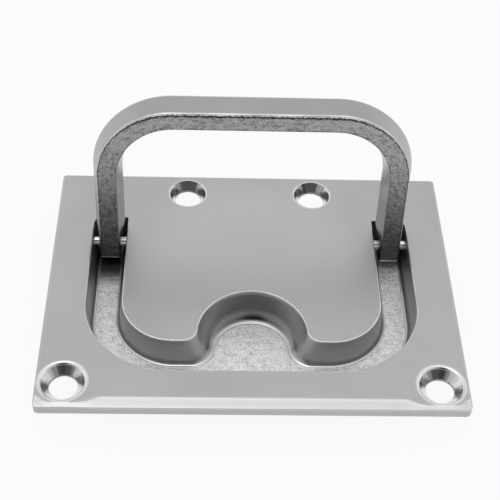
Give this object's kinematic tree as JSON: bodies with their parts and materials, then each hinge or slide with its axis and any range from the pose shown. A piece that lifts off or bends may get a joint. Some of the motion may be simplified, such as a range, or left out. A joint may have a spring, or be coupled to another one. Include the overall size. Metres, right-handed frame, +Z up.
{
  "type": "flush lift handle",
  "caption": "Rectangular cast plate with a U-shaped recess, a finger dish and a hinged bail that folds flush into it.",
  "frame": {"origin": "centre of the plate in plan, at the flat bottom of the trough that the plate hangs over", "axes": "+X to the right along the plate's width, +Y from the finger side to the hinge side, +Z up out of the plate"},
  "size_m": [0.1, 0.075, 0.0481],
  "materials": {
    "satin_steel": "ground satin on the plate, rough as cast in the recess",
    "bail_steel": "satin outside, rough as cast on the underside",
    "pin_steel": "bright drawn"
  },
  "bodies": {
    "base": {"body": "satin_steel", "pin_left": "pin_steel", "pin_right": "pin_steel"},
    "handle": {"bail": "bail_steel"}
  },
  "joints": [
    {"name": "bail_hinge", "type": "hinge", "parent": "base", "child": "handle", "pos_m": [0, 0.0162, 0.0067], "axis": [1, 0, 0], "range_deg": [0, 99]}
  ]
}
